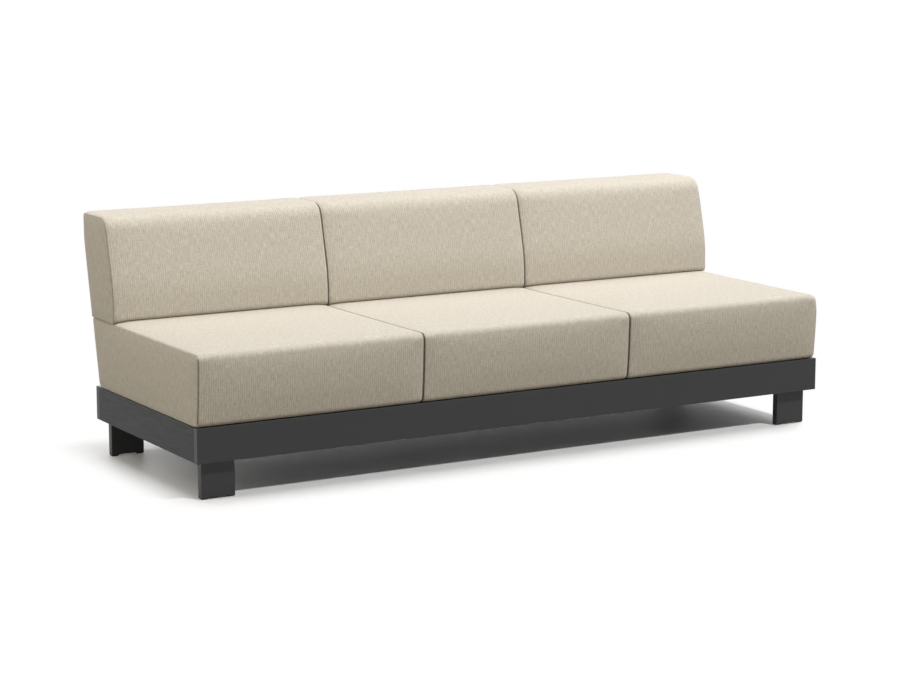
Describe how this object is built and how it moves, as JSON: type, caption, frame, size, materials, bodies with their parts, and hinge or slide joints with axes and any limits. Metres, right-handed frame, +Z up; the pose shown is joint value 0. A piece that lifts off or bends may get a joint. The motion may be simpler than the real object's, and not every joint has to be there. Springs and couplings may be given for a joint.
{
  "type": "armless sofa",
  "caption": "Low armless sofa: a charcoal board frame on short board legs, with loose box seat cushions and leaning back cushions in a beige weave.",
  "frame": {"origin": "on the floor, under the middle of the sofa's overall box", "axes": "+X along the sofa to the right as seen from the front, -Y towards the front, +Z up"},
  "size_m": [2.14, 0.8319, 0.7284],
  "materials": {
    "charcoal_board": "satin",
    "aluminium_angle": "satin",
    "coated_bar": "satin",
    "glide_plastic": "matte",
    "stainless_steel": "satin",
    "woven_cover": "matte",
    "foam": "matte",
    "zip_tape": "matte",
    "zip_slider": "satin"
  },
  "bodies": {
    "frame": {"front_apron": "charcoal_board", "rear_apron": "charcoal_board", "left_apron": "charcoal_board", "right_apron": "charcoal_board", "front_stiffener": "aluminium_angle", "rear_stiffener": "aluminium_angle", "left_cleat": "charcoal_board", "right_cleat": "charcoal_board", "leg_front_left": "charcoal_board", "leg_front_right": "charcoal_board", "leg_rear_left": "charcoal_board", "leg_rear_right": "charcoal_board", "glides": "glide_plastic", "corner_brackets": "aluminium_angle", "cross_rail_1": "charcoal_board", "cross_rail_2": "charcoal_board", "cross_rail_3": "charcoal_board", "deck_slat_1": "charcoal_board", "deck_slat_2": "charcoal_board", "deck_slat_3": "charcoal_board", "deck_slat_4": "charcoal_board", "deck_slat_5": "charcoal_board", "deck_slat_6": "charcoal_board", "back_upright_1": "coated_bar", "back_upright_2": "coated_bar", "back_upright_3": "coated_bar", "back_upright_4": "coated_bar", "back_slat_1": "charcoal_board", "back_slat_2": "charcoal_board", "back_slat_3": "charcoal_board", "back_slat_4": "charcoal_board", "leg_bolts": "stainless_steel", "upright_bolts": "stainless_steel", "frame_screws": "stainless_steel", "deck_screws": "stainless_steel", "back_screws": "stainless_steel"},
    "seat_cushion_left": {"seat_cover_left": "woven_cover", "seat_core_left": "foam", "seat_zip_left": "zip_tape"},
    "seat_slider_left": {"seat_slider_left": "zip_slider"},
    "seat_cushion_middle": {"seat_cover_middle": "woven_cover", "seat_core_middle": "foam", "seat_zip_middle": "zip_tape"},
    "seat_slider_middle": {"seat_slider_middle": "zip_slider"},
    "seat_cushion_right": {"seat_cover_right": "woven_cover", "seat_core_right": "foam", "seat_zip_right": "zip_tape"},
    "seat_slider_right": {"seat_slider_right": "zip_slider"},
    "back_cushion_left": {"back_cover_left": "woven_cover", "back_core_left": "foam", "back_zip_left": "zip_tape"},
    "back_slider_left": {"back_slider_left": "zip_slider"},
    "back_cushion_middle": {"back_cover_middle": "woven_cover", "back_core_middle": "foam", "back_zip_middle": "zip_tape"},
    "back_slider_middle": {"back_slider_middle": "zip_slider"},
    "back_cushion_right": {"back_cover_right": "woven_cover", "back_core_right": "foam", "back_zip_right": "zip_tape"},
    "back_slider_right": {"back_slider_right": "zip_slider"}
  },
  "joints": [
    {"name": "seat_lift_left", "type": "slide", "parent": "frame", "child": "seat_cushion_left", "axis": [0, 0, 1], "range_m": [0, 0.25]},
    {"name": "seat_zip_run_left", "type": "slide", "parent": "seat_cushion_left", "child": "seat_slider_left", "axis": [-1, 0, 0], "range_m": [0, 0.6]},
    {"name": "seat_lift_middle", "type": "slide", "parent": "frame", "child": "seat_cushion_middle", "axis": [0, 0, 1], "range_m": [0, 0.25]},
    {"name": "seat_zip_run_middle", "type": "slide", "parent": "seat_cushion_middle", "child": "seat_slider_middle", "axis": [-1, 0, 0], "range_m": [0, 0.6]},
    {"name": "seat_lift_right", "type": "slide", "parent": "frame", "child": "seat_cushion_right", "axis": [0, 0, 1], "range_m": [0, 0.25]},
    {"name": "seat_zip_run_right", "type": "slide", "parent": "seat_cushion_right", "child": "seat_slider_right", "axis": [-1, 0, 0], "range_m": [0, 0.6]},
    {"name": "back_lift_left", "type": "slide", "parent": "seat_cushion_left", "child": "back_cushion_left", "axis": [0, 0, 1], "range_m": [0, 0.35]},
    {"name": "back_zip_run_left", "type": "slide", "parent": "back_cushion_left", "child": "back_slider_left", "axis": [-1, 0, 0], "range_m": [0, 0.6]},
    {"name": "back_lift_middle", "type": "slide", "parent": "seat_cushion_middle", "child": "back_cushion_middle", "axis": [0, 0, 1], "range_m": [0, 0.35]},
    {"name": "back_zip_run_middle", "type": "slide", "parent": "back_cushion_middle", "child": "back_slider_middle", "axis": [-1, 0, 0], "range_m": [0, 0.6]},
    {"name": "back_lift_right", "type": "slide", "parent": "seat_cushion_right", "child": "back_cushion_right", "axis": [0, 0, 1], "range_m": [0, 0.35]},
    {"name": "back_zip_run_right", "type": "slide", "parent": "back_cushion_right", "child": "back_slider_right", "axis": [-1, 0, 0], "range_m": [0, 0.6]}
  ]
}
